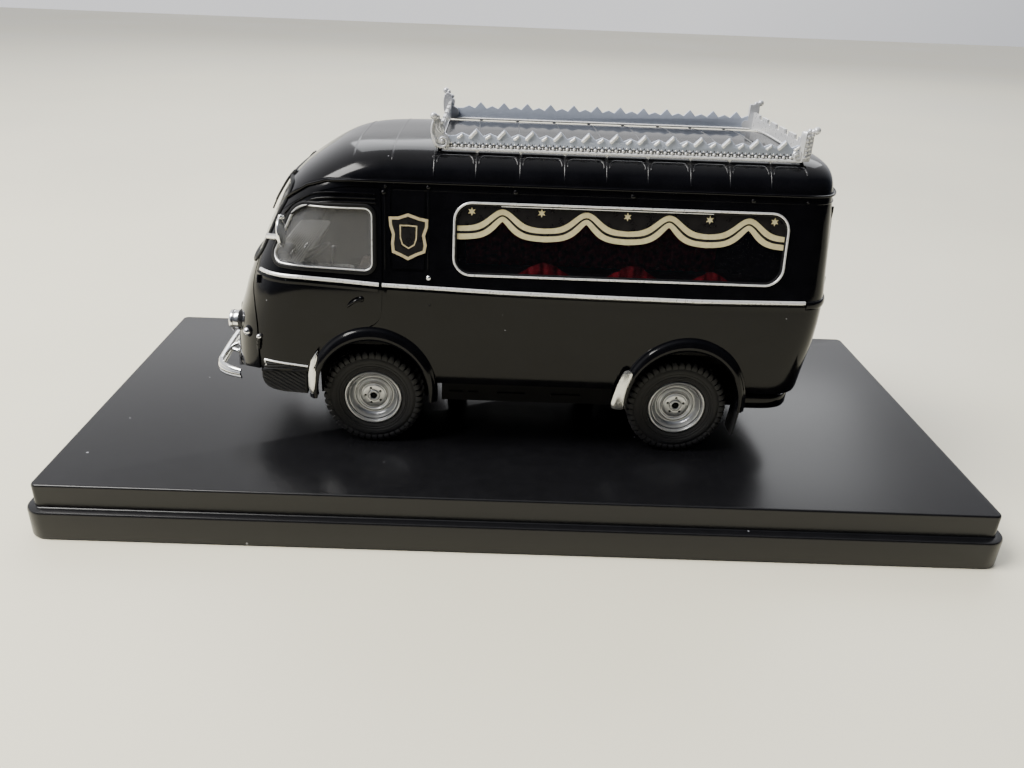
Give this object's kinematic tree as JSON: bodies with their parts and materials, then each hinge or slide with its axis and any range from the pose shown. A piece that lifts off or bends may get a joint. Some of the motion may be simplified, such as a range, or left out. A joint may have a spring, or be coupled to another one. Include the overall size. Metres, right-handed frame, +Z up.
{
  "type": "scale model of a van hearse on a display plinth",
  "caption": "Small-scale model of a mid-century forward-control van hearse, gloss black with a bright roof gallery, free-turning wheels, screwed to a stepped display plinth.",
  "frame": {"origin": "under the middle of the plinth, in the plane it stands on", "axes": "+Z up, -X the front of the vehicle, -Y its left side"},
  "size_m": [0.1632, 0.0792, 0.067],
  "materials": {
    "plinth_plastic": "satin",
    "screw_steel": "satin",
    "chassis_black": "satin",
    "gloss_black": "gloss",
    "moulded_black": "satin",
    "deck_red": "satin",
    "bright_trim": "polished",
    "wheel_silver": "satin",
    "seat_leather": "satin",
    "clear_glazing": "gloss",
    "lamp_lens": "gloss",
    "gold_print": "gloss",
    "red_lens": "gloss",
    "tyre_rubber": "matte",
    "plate_blank": "satin"
  },
  "bodies": {
    "model": {"plinth": "plinth_plastic", "mounting_screws": "screw_steel", "chassis_plate": "chassis_black", "side_rails": "chassis_black", "engine_gearbox": "chassis_black", "propshaft": "chassis_black", "exhaust": "chassis_black", "body_shell": "gloss_black", "front_wheel_arches": "gloss_black", "rear_wheel_arches": "gloss_black", "gutter": "gloss_black", "bulkhead": "moulded_black", "load_deck": "deck_red", "deck_rails": "bright_trim", "cab_seats": "seat_leather", "dashboard": "moulded_black", "steering_wheel": "moulded_black", "windscreen": "clear_glazing", "door_glass": "clear_glazing", "side_glass": "clear_glazing", "rear_glass": "clear_glazing", "door_window_frames": "bright_trim", "side_window_frames": "bright_trim", "belt_mouldings": "bright_trim", "headlamps": "lamp_lens", "side_lamps": "lamp_lens", "grille": "gloss_black", "front_bumper": "bright_trim", "front_number_plate": "plate_blank", "rear_number_plate": "plate_blank", "mirrors": "bright_trim", "wipers": "moulded_black", "door_handles": "gloss_black", "cab_steps": "moulded_black", "stone_guards": "bright_trim", "mudflaps": "chassis_black", "rear_valance": "moulded_black", "tail_lamps": "red_lens", "rear_door_handle": "gloss_black", "crest_plates": "gold_print", "filler_caps": "bright_trim", "gallery_left": "bright_trim", "gallery_right": "bright_trim", "gallery_front": "bright_trim", "gallery_rear": "bright_trim", "gallery_posts": "bright_trim"},
    "front_wheels": {"front_axle": "screw_steel", "front_rims": "wheel_silver", "front_tyres": "tyre_rubber"},
    "rear_wheels": {"rear_axle": "screw_steel", "rear_rims": "wheel_silver", "rear_tyres": "tyre_rubber"}
  },
  "joints": [
    {"name": "front_wheels_spin", "type": "hinge", "parent": "model", "child": "front_wheels", "pos_m": [-0.0261, 0, 0.01845], "axis": [0, 1, 0], "continuous": true},
    {"name": "rear_wheels_spin", "type": "hinge", "parent": "model", "child": "rear_wheels", "pos_m": [0.0279, 0, 0.01845], "axis": [0, 1, 0], "continuous": true}
  ]
}
